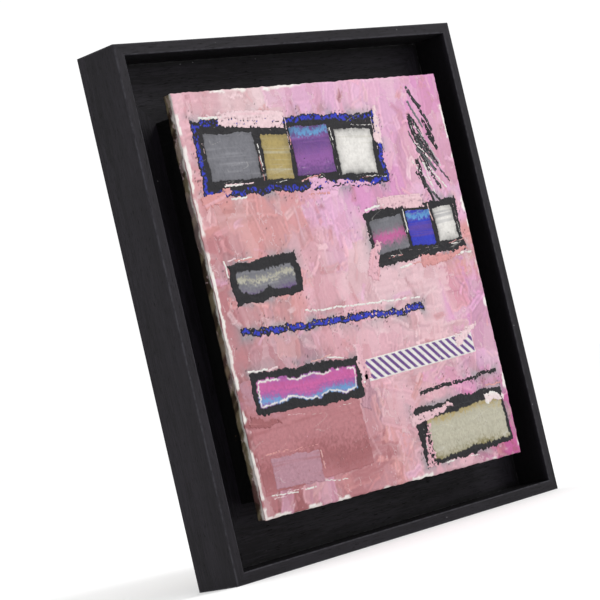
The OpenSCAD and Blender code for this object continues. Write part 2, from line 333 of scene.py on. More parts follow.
# Planed softwood for the cradle: warm bands of early and late wood, its outer faces painted
# black after it was glued up, lapping raggedly on to the back
def makeRawWood(name, turn, shift):
    made, tree, shader = newMaterial(name, Specular_IOR_Level=0.3)
    here = objectCoords(tree)
    turned = placed(tree, here, turn=turn, shift=shift)
    grain = useGroup(tree, grainGroup, Vector=turned, **{"Fibre Scale": 2200.0, "Pore Level": 0.66})
    stretched = placed(tree, turned, scale=(1, 1, 0.04))
    rings = addNode(tree, "TexWave", {"Vector": stretched, "Scale": 60.0, "Distortion": 6.5,
                                      "Detail": 2.0, "Detail Scale": 0.7}, wave_type="RINGS",
                    rings_direction="Z").outputs["Fac"]
    late = calc(tree, "POWER", rings, 2.2)
    colour = mixColours(tree, late, rgba(pine["early"]), rgba(pine["late"]))
    fleck = scaled(tree, grain["Tone"], 0.5, 0.72)
    colour = mixColours(tree, 1.0, colour, grey(tree, fleck), "MULTIPLY")
    colour = overlay(tree, colour, grain["Pores"], 0.35, rgba(pine["pore"]))
    parts = addNode(tree, "SeparateXYZ", {0: boardCoords(tree)}).outputs
    toSide = calc(tree, "SUBTRACT", cradleHalf[0], calc(tree, "ABSOLUTE", parts["X"]))
    toEnd = calc(tree, "SUBTRACT", cradleHalf[1], calc(tree, "ABSOLUTE", parts["Z"]))
    wander = scaled(tree, noise(tree, here, 500.0, 3.0, 0.6), pine["lapSpread"], pine["lapLeast"])
    lap = calc(tree, "SUBTRACT", calc(tree, "MINIMUM", toSide, toEnd), wander)
    colour = mixColours(tree, remap(tree, lap, 0.0, 0.25 * mm, 1, 0), colour, rgba(pine["painted"]))
    dress(tree, shader, colour, scaled(tree, late, -0.18, 0.74), grain["Height"], 0.35, 0.1 * mm)
    return made


# Plated steel: fine scratches, cloudy plating and a little wear
def makePlating(name, clear, cloudy, roughness, scratch):
    made, tree, shader = newMaterial(name, Metallic=1.0)
    here = objectCoords(tree)
    clouds = remap(tree, noise(tree, here, 420.0, 4.0, 0.6), 0.35, 0.7)
    dust = useGroup(tree, dustGroup, Vector=here, Specks=0.2)
    colour = mixColours(tree, clouds, rgba(clear), rgba(cloudy))
    colour = overlay(tree, colour, dust["Mask"], 0.6, rgba(plate["dust"]))
    lines = noise(tree, placed(tree, here, scale=(1, 1, 0.06), turn=(0.2, 0.4, 0)), 5200.0, 2.0, 0.5)
    rough = scaled(tree, clouds, 0.14, roughness)
    dress(tree, shader, colour, scaled(tree, lines, 0.12, rough), lines, scratch, 0.02 * mm)
    return made


# Matt moulded rubber with a fine pebble and grey bloom
def makeRubber(name):
    made, tree, shader = newMaterial(name, Specular_IOR_Level=0.35)
    here = objectCoords(tree)
    dust = useGroup(tree, dustGroup, Vector=here, Specks=0.8)
    bloom = remap(tree, dust["Haze"], 0.4, 0.75)
    colour = mixColours(tree, bloom, rgba(bumper["rubber"]), rgba(bumper["bloom"]))
    colour = overlay(tree, colour, dust["Mask"], 0.7, rgba(tray["dustColour"]))
    pebble = noise(tree, here, 3200.0, 2.0, 0.5)
    dress(tree, shader, colour, scaled(tree, pebble, 0.2, 0.62), pebble, 0.5, 0.06 * mm)
    return made


def paintNode(name, made):
    for socket in nodes[name].material_slots:
        socket.material = made


quarter = math.pi / 2
railTimber = {
    "rail_left": ((0, 0, 0), (0.11, 0.02, 0.05)),
    "rail_right": ((0, 0, 0), (0.47, 0.31, 0.64)),
    "rail_top": ((0, quarter, 0), (0.23, 0.17, 0.38)),
    "rail_bottom": ((0, quarter, 0), (0.71, 0.05, 0.92)),
}
for name, (turn, shift) in railTimber.items():
    paintNode(name, makeBlackWood("blackStain_" + name, turn, shift))
battenTimber = {
    "batten_left": ((0, 0, 0), (0.13, 0.005, 0.2)),
    "batten_right": ((0, 0, 0), (-0.09, 0.012, 0.5)),
    "batten_top": ((0, quarter, 0), (0.31, 0.008, 0.1)),
    "batten_bottom": ((0, quarter, 0), (-0.04, 0.015, 0.7)),
}
for name, (turn, shift) in battenTimber.items():
    paintNode(name, makeRawWood("pine_" + name, turn, shift))
nickel = makePlating("nickelPlate", (0.74, 0.71, 0.66), (0.52, 0.50, 0.47),
                     roughness=0.16, scratch=0.15)
yellowZinc = makePlating("yellowZinc", (0.72, 0.55, 0.24), (0.48, 0.40, 0.27),
                         roughness=0.24, scratch=0.25)
rolledSteel = makePlating("rolledSteel", (0.42, 0.42, 0.43), (0.22, 0.21, 0.21),
                          roughness=0.32, scratch=0.4)
rubber = makeRubber("bumperRubber")
for side in ("left", "right"):
    for part in ("hanger_strap_", "d_ring_", "hanger_screw_"):
        paintNode(part + side, nickel)
    paintNode("bumper_" + side, rubber)
    for level in ("top_", "bottom_"):
        paintNode("corner_nails_" + level + side, rolledSteel)
paintNode("panel_screws", yellowZinc)
print("materials on the rails, cradle and hangers")


# Puts picture coordinates (u to the right, v up, out towards the viewer) into the tray
def toTray(u, v, out):
    x = boardMiddle[0] + u * acrossAxis[0] + v * upAxis[0]
    z = boardMiddle[1] + u * acrossAxis[1] + v * upAxis[1]
    return np.stack([x, boardLow.y - out, z], axis=-1)


latticeSize = 128


# Value noise: random numbers on a lattice, joined by an ease curve
def smoothNoise(x, y, seed):
    size = latticeSize
    lattice = np.random.default_rng(seed).random((size, size))
    xCell, yCell = np.floor(x).astype(int), np.floor(y).astype(int)
    xShare, yShare = x - xCell, y - yCell
    xShare, yShare = xShare**2 * (3 - 2 * xShare), yShare**2 * (3 - 2 * yShare)
    left, right = xCell % size, (xCell + 1) % size
    low, high = yCell % size, (yCell + 1) % size
    near = lattice[left, low] * (1 - xShare) + lattice[right, low] * xShare
    far = lattice[left, high] * (1 - xShare) + lattice[right, high] * xShare
    return near * (1 - yShare) + far * yShare


# Several sizes of value noise, each half as strong and twice as fine
def layeredNoise(x, y, seed, layers=3):
    total, strength, weight = 0, 0, 1.0
    for layer in range(layers):
        total = total + weight * smoothNoise(x * 2**layer, y * 2**layer, seed + layer)
        strength, weight = strength + weight, weight / 2
    return total / strength


# Noise from -0.5 to 0.5 whose patches are this many millimetres across, each way
def patchy(u, v, wide, high, seed, layers=3):
    shift = latticeSize / 2    # puts the picture's middle in the lattice's middle
    return layeredNoise(u / (wide * mm) + shift, v / (high * mm) + shift, seed, layers) - 0.5


def ease(value, low, high):
    share = np.clip((value - low) / (high - low), 0, 1)
    return share * share * (3 - 2 * share)


# Turns places in the picture's plane about its middle, anticlockwise
def rotate(u, v, turn):
    cosine, sine = math.cos(turn), math.sin(turn)
    return cosine * u - sine * v, sine * u + cosine * v


# A hump of height 1 at a place, this wide
def hump(value, place, width):
    return np.exp(-((value - place) / width)**2)


# Lays one colour over others by a share
def glaze(under, over, share):
    return under + (over - under) * share[..., None]


picture = {
    "cell": 0.91 * mm,        # spacing of the ground's surface grid
    "fineCell": 0.42 * mm,    # spacing on the patches and marks
    "margin": 1.3 * mm,       # how far a patch's grid runs on under the ground
    "most": 0.9 * mm,         # highest ridge, in front of the CAD board's face
    "wideStrokes": 110,
    "touches": 420,           # small knife touches over them
    "strength": 0.69,         # how light the pigments are mixed
    "smudge": 4.5 * mm,       # how far charcoal is rubbed out from the dark blocks
    "sliverReach": (122, 130, 124),   # mm from the middle: sideways, upwards, to its end
    "blockLeast": 15,         # mm: only patches this wide have slivers beside them
    "seed": 20,
}
pigments = {
    "blush": (231, 192, 200), "shell": (238, 208, 213), "petal": (229, 178, 190), "salmon": (217, 152, 151),
    "mauve": (228, 176, 209), "orchid": (221, 152, 198), "rose": (190, 126, 132), "dusk": (186, 140, 154),
    "brick": (163, 98, 102), "magenta": (205, 96, 160), "plum": (106, 66, 138), "violet": (150, 92, 166),
    "ultramarine": (40, 52, 190), "sky": (98, 164, 214), "charcoal": (22, 20, 26), "slate": (120, 120, 127),
    "ash": (150, 150, 156), "ochre": (178, 158, 98), "sand": (190, 186, 166), "olive": (142, 132, 84),
    "cream": (236, 233, 228), "umber": (62, 48, 38), "drab": (128, 116, 92),
}
palette = {name: picture["strength"] * shade(*value) for name, value in pigments.items()}

# What a patch has when nothing else is said
plainPatch = {
    "bands": (),           # (pigment, place from -1 to 1 across it, width) laid wet into it
    "outline": 0.0,        # mm of charcoal round it
    "crayon": "",          # pigment of a crumbly crayon line inside its edge
    "vignette": 0.0,       # how dark charcoal is rubbed in from its edge
    "chalk": 0.0,          # share of the outline that has a chalky line beside it
    "thick": 0.28,         # mm over the ground
    "ragged": 1.1,         # mm that its edge wanders
    "taper": 0.0,          # share of its width lost from one end to the other
    "scratched": 0.3,      # how strongly fine pale scratches show
    "dry": 0.06,           # share of it that is worn through
    "stripes": 0.0,        # mm from stripe to stripe, where it is printed tape
    "coarse": 1.0,         # how many times the fine cell its grid is
}


# A patch: mm right of and above the middle, mm along and across, degrees, its pigment, the
# pigment in its drag lines, and what is special about it
def slab(at, size, turn, fill="charcoal", streak="charcoal", **special):
    return {"at": at, "size": size, "turn": turn, "fill": fill, "streak": streak, **special}


# The blocks
upperPatches = [
    slab((-30, 90), (172, 50), -1.5, thick=0.20, ragged=2.2, crayon="ultramarine"),
    slab((-86, 92), (44, 31), -1.0, "slate", "ash", thick=0.40, vignette=0.4),
    slab((-46, 89), (25, 30), -4.0, "ochre", "sand", thick=0.42, vignette=0.5),
    slab((-12, 91), (37, 33), 0.0, "plum", "violet", thick=0.40,
         bands=(("sky", 0.85, 0.14), ("violet", -0.3, 0.4)), vignette=0.5),
    slab((29, 87), (36, 31), -3.0, "cream", "sand", thick=0.44, vignette=0.85),
]
middlePatches = [
    slab((70, 28), (96, 38), 2.0, thick=0.20, ragged=2.2),
    slab((43, 28), (34, 24), 4.0, "slate", "ash", thick=0.42, bands=(("magenta", -0.15, 0.3),),
         vignette=0.5),
    slab((76, 30), (25, 25), 0.0, "ultramarine", "plum", thick=0.42, bands=(("sky", 0.8, 0.16),),
         vignette=0.3),
    slab((102, 30), (20, 24), 3.0, "cream", "ash", thick=0.40, vignette=0.7),
    slab((-80, 12), (62, 27), 2.5, "slate", "ash", outline=6.5,
         bands=(("plum", -0.75, 0.3), ("sand", 0.15, 0.12)), thick=0.36, ragged=2.0, vignette=0.5),
]
lowerPatches = [
    slab((-72, -84), (102, 72), 1.5, "rose", "brick", thick=0.16, dry=0.12, coarse=1.4,
         bands=(("dusk", 0.8, 0.3), ("brick", -0.7, 0.3))),
    slab((-64, -60), (100, 27), -1.5, "violet", "magenta", outline=5.6,
         bands=(("magenta", 0.2, 0.35), ("sky", -0.45, 0.16)), chalk=0.6, thick=0.36, ragged=1.8),
    slab((-90, -110), (44, 20), -2.0, "dusk", "brick", dry=0.18, thick=0.36),
    slab((74, -108), (94, 40), 2.0, thick=0.18, ragged=2.4, dry=0.14, coarse=1.6),
    slab((78, -110), (86, 34), 2.0, "sand", "sand", thick=0.36,
         bands=(("olive", -0.9, 0.25), ("ochre", 0.8, 0.16)), vignette=0.3, outline=3.0),
    slab((-26, -22), (172, 5.5), -1.2, dry=0.34, ragged=2.4, thick=0.22, crayon="ultramarine"),
    slab((4, -15), (112, 1.5), -2.2, "cream", "cream", dry=0.40, ragged=1.2, thick=0.18),
    slab((78, -78), (84, 3.0), 3.5, dry=0.42, ragged=1.6, thick=0.20),
]
allPatches = upperPatches + middlePatches + lowerPatches
tapes = [
    slab((44, -56), (118, 15), 2.5, "cream", "cream", stripes=7.0, thick=0.16, ragged=0.3, dry=0.0),
]
# Pink dragged back over the edges of the blocks
overlaps = [
    slab((-107, 67), (27, 10), 14, "salmon", "petal", taper=0.6),
    slab((-62, 115), (58, 9), -4, "shell", "petal", taper=-0.7),
    slab((10, 66), (62, 8), -5, "mauve", "shell", taper=0.8),
    slab((55, 104), (26, 9), 74, "shell", "mauve", taper=0.7),
    slab((24, 13), (28, 12), 62, "petal", "salmon", taper=0.6),
    slab((94, 8), (50, 9), 5, "salmon", "rose", taper=0.7),
    slab((62, 49), (44, 7), -2, "blush", "shell", taper=-0.8),
    slab((-12, -70), (26, 9), 70, "dusk", "petal", taper=0.6),
    slab((-108, -77), (28, 8), -9, "brick", "salmon", taper=0.7),
    slab((-11, -52), (26, 11), 96, "petal", "shell", taper=0.5),
    slab((98, -46), (30, 9), 22, "shell", "petal", taper=0.8),
    slab((46, -95), (46, 8), 6, "blush", "shell", taper=0.7),
    slab((112, -94), (22, 8), -8, "cream", "shell", taper=0.5),
    slab((36, -116), (30, 10), 82, "petal", "shell", taper=0.6),
]


# Fields of the ground: millimetres right of and above the middle, and the pigment
fields = [
    (-112, 122, "petal"), (-62, 128, "shell"), (-8, 122, "mauve"), (52, 126, "mauve"), (108, 118, "orchid"),
    (-118, 62, "salmon"), (-66, 44, "salmon"), (-14, 48, "mauve"), (30, 60, "orchid"), (116, 70, "mauve"),
    (-120, 14, "rose"), (-78, 4, "salmon"), (-30, 18, "petal"), (8, 8, "blush"), (122, 4, "salmon"),
    (-120, -30, "rose"), (-66, -38, "dusk"), (-10, -36, "petal"), (60, -24, "blush"), (112, -22, "orchid"),
    (-116, -62, "brick"), (-72, -98, "rose"), (-12, -90, "dusk"), (22, -80, "petal"), (122, -60, "mauve"),
    (-112, -122, "brick"), (-50, -128, "rose"), (2, -118, "salmon"), (30, -130, "petal"),
    (124, -104, "magenta"),
]


# The field colour at any place: every field pulls with the eighth power of its nearness,
# and the place is pushed about a little first, so that the borders wander
def fieldColour(u, v):
    uPushed = u + 26 * mm * patchy(u, v, 34, 34, 71)
    vPushed = v + 26 * mm * patchy(u, v, 34, 34, 75)
    uField, vField = np.array([field[:2] for field in fields]).T * mm
    gap = (uPushed[..., None] - uField)**2 + (vPushed[..., None] - vField)**2
    pull = (gap + (6 * mm)**2)**-4.0
    pull /= pull.sum(-1, keepdims=True)
    return pull @ np.array([palette[field[2]] for field in fields])


# One knife stroke in its own window of the ground: a flat body, squeezed-out sides,
# streaks along it, and a dry end where the paint breaks up over what lies below
def layStroke(ground, colours, u, v, stroke, seed):
    along, across = rotate(u - stroke["u"], v - stroke["v"], -stroke["turn"])
    along = along + 7 * mm * patchy(across, along, 5, 30, seed)
    across = across + 3.5 * mm * patchy(along, across, 9, 30, seed + 3)
    inside = np.minimum(stroke["length"] / 2 - abs(along), stroke["width"] / 2 - abs(across))
    streaks = patchy(across, along, 2.4, 40, seed + 6)
    body = ease(inside, -0.35 * mm, 0.55 * mm)
    worn = ease(patchy(u, v, 2.6, 2.6, seed + 9, 2) + 0.9 * streaks, stroke["dry"] - 0.5, stroke["dry"] - 0.3)
    tail = ease(along / stroke["length"], -0.35, 0.45)
    body = body * (1 - tail * (1 - worn))
    ridge = hump(inside, 0.9 * mm, 0.9 * mm) * (0.5 + patchy(u, v, 6, 6, seed + 12))
    level = stroke["body"] + 0.16 * mm * streaks
    ground[:] = ground * (1 - 0.8 * body) + 0.8 * body * level + 0.30 * mm * body * ridge
    tint = glaze(stroke["colour"] * np.ones(u.shape + (1,)), stroke["second"], 0.6 * ease(streaks, 0.0, 0.25))
    tint = tint * (1 + 0.07 * streaks + 0.05 * patchy(u, v, 14, 14, seed + 15))[..., None]
    colours[:] = glaze(colours, tint, body * stroke["cover"])


# How far outside a patch's plain outline each place lies; below zero inside it
def outsidePatch(patch, u, v):
    u, v = u - patch["at"][0] * mm, v - patch["at"][1] * mm
    along, across = rotate(u, v, -math.radians(patch["turn"]))
    return np.maximum(abs(along) - patch["size"][0] * mm / 2, abs(across) - patch["size"][1] * mm / 2)


# The ground: heights and colours on one grid, a thin coat of the fields' colours and then
# stroke over stroke, each mixed from the field it lies on
def layGround():
    dice = np.random.default_rng(picture["seed"])
    columns = round(boardWidth / picture["cell"]) + 1
    rows = round(boardHeight / picture["cell"]) + 1
    u = np.linspace(-boardWidth / 2, boardWidth / 2, columns)
    v = np.linspace(-boardHeight / 2, boardHeight / 2, rows)
    uGrid, vGrid = np.meshgrid(u, v)
    ground = (0.36 + 0.20 * patchy(uGrid, vGrid, 5, 5, 11)) * mm
    colours = fieldColour(uGrid, vGrid) * (1 + 0.16 * patchy(uGrid, vGrid, 11, 11, 17))[..., None]
    for index in range(picture["wideStrokes"] + picture["touches"]):
        wide = index < picture["wideStrokes"]
        place = (dice.random(2) - 0.5) * (boardWidth, boardHeight)
        mixed = fieldColour(place[:1], place[1:])[0]
        lighter, other = dice.normal(0, 0.07 if wide else 0.14), dice.random()
        accent = palette[dice.choice(["shell", "rose", "mauve", "salmon", "petal", "dusk", "brick"])]
        share = dice.choice([0.05, 0.15, 0.5]) if wide else dice.uniform(0.2, 0.9)
        mixed = mixed * (1 + lighter) * (1 - share) + share * accent
        stroke = {"u": place[0], "v": place[1], "colour": mixed,
                  "second": mixed * 0.6 + 0.4 * palette["shell" if other < 0.6 else "salmon"],
                  "length": (dice.uniform(30, 84) if wide else dice.uniform(5, 22)) * mm,
                  "width": (dice.uniform(11, 28) if wide else dice.uniform(1.4, 5.5)) * mm,
                  "turn": dice.choice([0, quarter], p=[0.4, 0.6]) + dice.normal(0, 0.16 if wide else 0.4),
                  "body": dice.uniform(0.20, 0.50) * mm, "dry": dice.choice([0.15, 0.4, 0.6]),
                  "cover": dice.uniform(0.55, 0.95)}
        window = 0.5 * math.hypot(stroke["length"], stroke["width"]) + 5 * mm
        spot = (slice(*np.searchsorted(v, [place[1] - window, place[1] + window])),
                slice(*np.searchsorted(u, [place[0] - window, place[0] + window])))
        layStroke(ground[spot], colours[spot], uGrid[spot], vGrid[spot], stroke, 100 + 17 * index)
    # charcoal rubbed and crumbled out from the dark blocks
    away = np.full(uGrid.shape, 1.0)
    for patch in allPatches:
        if patch["fill"] == "charcoal" or "outline" in patch:
            away = np.minimum(away, outsidePatch(patch, uGrid, vGrid))
    near = np.exp(-np.maximum(away, 0) / picture["smudge"])
    rubbed = 0.8 * near * ease(patchy(uGrid, vGrid, 10, 10, 81), -0.08, 0.16)
    colours = glaze(colours, palette["ash"], rubbed)
    clusters = near**1.6 * ease(patchy(uGrid, vGrid, 6, 6, 83), -0.02, 0.2)
    crumbs = (dice.random(uGrid.shape) < 0.34 * clusters) & (away > 0.4 * mm)
    colours = glaze(colours, palette["charcoal"], crumbs * dice.uniform(0.35, 0.95, uGrid.shape))
    # painted highlight on the ridges and painted shade in the hollows
    around = sum(np.roll(ground, step, axis) for step in (2, -2) for axis in (0, 1)) / 4
    relief = np.clip((ground - around) / (0.10 * mm), -1, 1)
    return u, v, ground, colours * (1 + 0.13 * relief)[..., None]


uLine, vLine, ground, groundTints = layGround()
lowest, highest = round(ground.min() / mm, 2), round(ground.max() / mm, 2)
print("ground painted:", ground.shape, "heights", lowest, "to", highest, "mm")


# Reads the ground's height anywhere on the picture, blending between the four nearest points
def groundAt(u, v):
    x = np.clip((u - uLine[0]) / (uLine[1] - uLine[0]), 0, len(uLine) - 1.001)
    y = np.clip((v - vLine[0]) / (vLine[1] - vLine[0]), 0, len(vLine) - 1.001)
    column, row = x.astype(int), y.astype(int)
    x, y = x - column, y - row
    low = ground[row, column] * (1 - x) + ground[row, column + 1] * x
    high = ground[row + 1, column] * (1 - x) + ground[row + 1, column + 1] * x
    return low * (1 - y) + high * y


# Faces between the rows of a grid of points, seen from the viewer's side
def gridFaces(rows, columns):
    index = np.arange(rows * columns).reshape(rows, columns)
    return np.stack([index[:-1, :-1], index[:-1, 1:], index[1:, 1:], index[1:, :-1]], -1).reshape(-1, 4)


# The numbers of a grid's border points, once round, starting at the first corner
def borderOf(rows, columns):
    index = np.arange(rows * columns).reshape(rows, columns)
    return np.concatenate([index[0, :-1], index[:-1, -1], index[-1, :0:-1], index[:0:-1, 0]])


# Four-sided faces between two rings of points
def ringFaces(upper, lower):
    return np.stack([np.roll(upper, -1), upper, lower, np.roll(lower, -1)], -1)


# Makes an object from points, four-sided faces and flat many-sided ones, with a colour on
# each point; the flat faces take the last material
def makePiece(name, points, quads, caps, tints, *materials):
    mesh = bpy.data.meshes.new(name)
    mesh.from_pydata(points, [], quads.tolist() + [cap.tolist() for cap in caps])
    layer = mesh.color_attributes.new("paintColour", "FLOAT_COLOR", "POINT")
    tints = np.c_[np.clip(tints, 0, 1), np.ones(len(tints))]
    layer.data.foreach_set("color", tints.astype(np.float32).ravel())
    isCap = np.arange(len(mesh.polygons)) >= len(quads)
    mesh.polygons.foreach_set("use_smooth", ~isCap)
    for material in materials:
        mesh.materials.append(material)
    mesh.polygons.foreach_set("material_index", isCap.astype(np.int32) * (len(materials) - 1))
    return addObject(name, mesh)


# Knife-laid acrylic: colour from the strokes, fine drag lines, satin where the blade pressed,
# and facets where it lifted, some with a thin pale edge
def makePaint(name, gloss, relief, facets):
    made, tree, shader = newMaterial(name, Specular_IOR_Level=0.24)
    here = objectCoords(tree)
    tints = addNode(tree, "Attribute", attribute_name="paintColour").outputs["Color"]
    upDrag = noise(tree, placed(tree, here, scale=(1, 1, 0.07), turn=(0, 0.12, 0)), 2300.0, 3.0, 0.6)
    sideDrag = noise(tree, placed(tree, here, scale=(0.07, 1, 1), turn=(0, -0.2, 0)), 2300.0, 3.0, 0.6)
    which = remap(tree, noise(tree, here, 45.0, 1.0), 0.46, 0.54)
    drag = addNode(tree, "Mix", {0: which, 2: upDrag, 3: sideDrag}, data_type="FLOAT").outputs[0]
    mottle = scaled(tree, noise(tree, here, 420.0, 5.0, 0.65), 0.20, 0.84)
    mottle = scaled(tree, drag, 0.13, mottle)
    colour = mixColours(tree, 1.0, tints, grey(tree, mottle), "MULTIPLY")
    pushed = addNode(tree, "TexNoise", {"Vector": here, "Scale": 110.0, "Detail": 4.0, "Roughness": 0.6})
    pushed = addNode(tree, "VectorMath", {0: pushed.outputs["Color"], "Scale": 11 * mm}, operation="SCALE")
    warped = addNode(tree, "VectorMath", {0: here, 1: pushed.outputs[0]}, operation="ADD").outputs[0]
    warped = placed(tree, warped, scale=(1, 1, 0.45), turn=(0, 0.15, 0))
    cells = addNode(tree, "TexVoronoi", {"Vector": warped, "Scale": 105.0}, feature="F1").outputs["Color"]
    chance = addNode(tree, "SeparateColor", {0: cells}).outputs
    colour = overlay(tree, colour, remap(tree, chance[0], 0.72, 0.78), facets, rgba(palette["shell"]))
    colour = overlay(tree, colour, remap(tree, chance[1], 0.80, 0.84), facets, rgba(palette["rose"]))
    gap = addNode(tree, "TexVoronoi", {"Vector": warped, "Scale": 105.0}, feature="DISTANCE_TO_EDGE")
    seam = remap(tree, gap.outputs["Distance"], 0.012, 0.04, 1, 0)
    seam = calc(tree, "MULTIPLY", seam, remap(tree, noise(tree, here, 150.0, 2.0), 0.54, 0.6))
    colour = overlay(tree, colour, seam, facets * 2.2, rgba(palette["shell"]))
    flecks = useGroup(tree, dustGroup, Vector=placed(tree, here, scale=(0.8, 0.8, 0.8)), Specks=0.55)
    colour = overlay(tree, colour, flecks["Mask"], 0.75, rgba(palette["umber"]))
    grit = noise(tree, here, 1300.0, 4.0, 0.7)
    rough = scaled(tree, noise(tree, here, 160.0, 3.0, 0.6), 0.4, gloss)
    rough = scaled(tree, grit, 0.1, rough, clamp=True)
    height = scaled(tree, grit, 0.7, drag)
    height = scaled(tree, chance[2], 0.9, height)
    dress(tree, shader, colour, rough, scaled(tree, seam, 1.2, height), relief, 0.14 * mm)
    return made


# The board's own back: brown hardboard pressed on a wire screen
def makeHardboard(name):
    made, tree, shader = newMaterial(name, Specular_IOR_Level=0.25)
    here = objectCoords(tree)
    fibres = noise(tree, here, 900.0, 5.0, 0.7)
    light = remap(tree, fibres, 0.35, 0.65)
    colour = mixColours(tree, light, rgba(backBoard["dark"]), rgba(backBoard["light"]))
    bands = {"Vector": here, "Scale": 290.0, "Distortion": 0.4, "Detail": 1.0}
    warp = addNode(tree, "TexWave", bands, bands_direction="X").outputs["Fac"]
    weft = addNode(tree, "TexWave", bands, bands_direction="Z").outputs["Fac"]
    screen = calc(tree, "MULTIPLY", warp, weft)
    colour = overlay(tree, colour, screen, 0.35, rgba(backBoard["raised"]))
    height = scaled(tree, fibres, 0.5, screen)
    dress(tree, shader, colour, scaled(tree, fibres, 0.2, 0.62), height, 0.6, 0.25 * mm)
    return made


acrylic = makePaint("knifeAcrylic", gloss=0.26, relief=0.8, facets=0.20)
thickAcrylic = makePaint("slabAcrylic", gloss=0.30, relief=0.8, facets=0.0)
hardboard = makeHardboard("screenHardboard")

boardEdge = {
    "ragged": 0.55 * mm,      # how far the outline wanders
    "rim": 2.2 * mm,          # width of the scraped, pale rim at the front
    # rows down the side, mm: the last one is the back's
    "depths": (0.0, 0.3, 0.7, 1.2, 1.8, 2.6, 3.6, 4.8, 6.0, 7.0),
    "swell": (0.0, 0.22, 0.16, -0.05, -0.22, -0.24, -0.26, -0.28, -0.30, -0.30),  # outwards, mm
}


# The board with its ground of paint: the front grid, rows down the four sides, and a flat back.
# Near the edge the outline is pushed in and out by noise and the paint thins
def makePaintedBoard():
    rows, columns = ground.shape
    uGrid, vGrid = np.meshgrid(uLine, vLine)
    toSide, toEnd = boardWidth / 2 - abs(uGrid), boardHeight / 2 - abs(vGrid)
    fade = 3 * mm
    uShift = np.sign(uGrid) * (1.3 * patchy(vGrid, np.sign(uGrid) * 9 * mm, 5, 5, 31, 4) - 0.12)
    vShift = np.sign(vGrid) * (patchy(uGrid, np.sign(vGrid) * 9 * mm, 5, 5, 37, 4) - 0.12)
    uFront = uGrid + 2 * boardEdge["ragged"] * uShift * ease(toSide, fade, 0)
    vFront = vGrid + 2 * boardEdge["ragged"] * vShift * ease(toEnd, fade, 0)
    edge = np.minimum(toSide, toEnd)
    rim = 0.26 * mm * hump(edge, 1.4 * mm, 1.1 * mm) * (0.5 + patchy(uGrid, vGrid, 9, 9, 41))
    out = np.minimum((ground + rim) * ease(edge, -1.2 * mm, 1.2 * mm), picture["most"])
    width = boardEdge["rim"] * (1 + 1.8 * patchy(uGrid, vGrid, 4, 4, 45))
    handled = 0.26 * ease(uGrid, -0.46 * boardWidth, -0.5 * boardWidth)
    worn = ease(patchy(uGrid, vGrid, 14, 14, 43) + handled, 0.06, 0.16)
    scraped = ease(edge, width, width - 0.7 * mm) * worn
    shown = glaze(groundTints, palette["cream"] * 1.15, 0.92 * scraped)
    border = borderOf(rows, columns)
    uRim, vRim, outRim = uFront.ravel()[border], vFront.ravel()[border], out.ravel()[border]
    uOut = np.where(toSide.ravel()[border] < 1e-6, np.sign(uRim), 0)
    vOut = np.where(toEnd.ravel()[border] < 1e-6, np.sign(vRim), 0)
    points, tints = [toTray(uFront, vFront, out).reshape(-1, 3)], [shown.reshape(-1, 3)]
    lap = patchy(uRim, vRim, 5, 5, 53)
    for depth, swell in zip(boardEdge["depths"][1:], boardEdge["swell"][1:]):
        share = depth / boardEdge["depths"][-1]
        knobs = patchy(uRim + depth * mm, vRim - depth * mm, 2.6, 2.6, 57)
        moved = (swell + 0.75 * knobs * (1 - share)) * mm
        sunk = outRim * (1 - share) - depth * mm
        points.append(toTray(uRim + uOut * moved, vRim + vOut * moved, sunk))
        primed = ease(depth + 4.5 * lap, 3.0, 1.8)
        stained = ease(patchy(uRim, vRim + depth * mm, 6, 6, 59), -0.06, 0.10)
        bare = glaze(palette["umber"] * np.ones((len(border), 1)), palette["drab"], stained)
        side = glaze(bare, palette["cream"] * 1.1, primed)
        over = ease(depth + 5.0 * patchy(uRim, vRim, 11, 11, 61), 0.9, 0.2)
        tints.append(glaze(side, groundTints.reshape(-1, 3)[border], over))
    points[-1][:, 1] = boardHigh.y
    quads, upper = [gridFaces(rows, columns)], border
    for step in range(len(boardEdge["depths"]) - 1):
        lower = np.arange(len(border)) + rows * columns + step * len(border)
        quads.append(ringFaces(upper, lower))
        upper = lower
    return makePiece("painted_board", np.concatenate(points), np.concatenate(quads), [upper[::-1]],
                     np.concatenate(tints), acrylic, hardboard)


paintedBoard = makePaintedBoard()
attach(paintedBoard, "tray")
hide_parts("art_panel")
print("painted board:", len(paintedBoard.data.polygons), "faces")


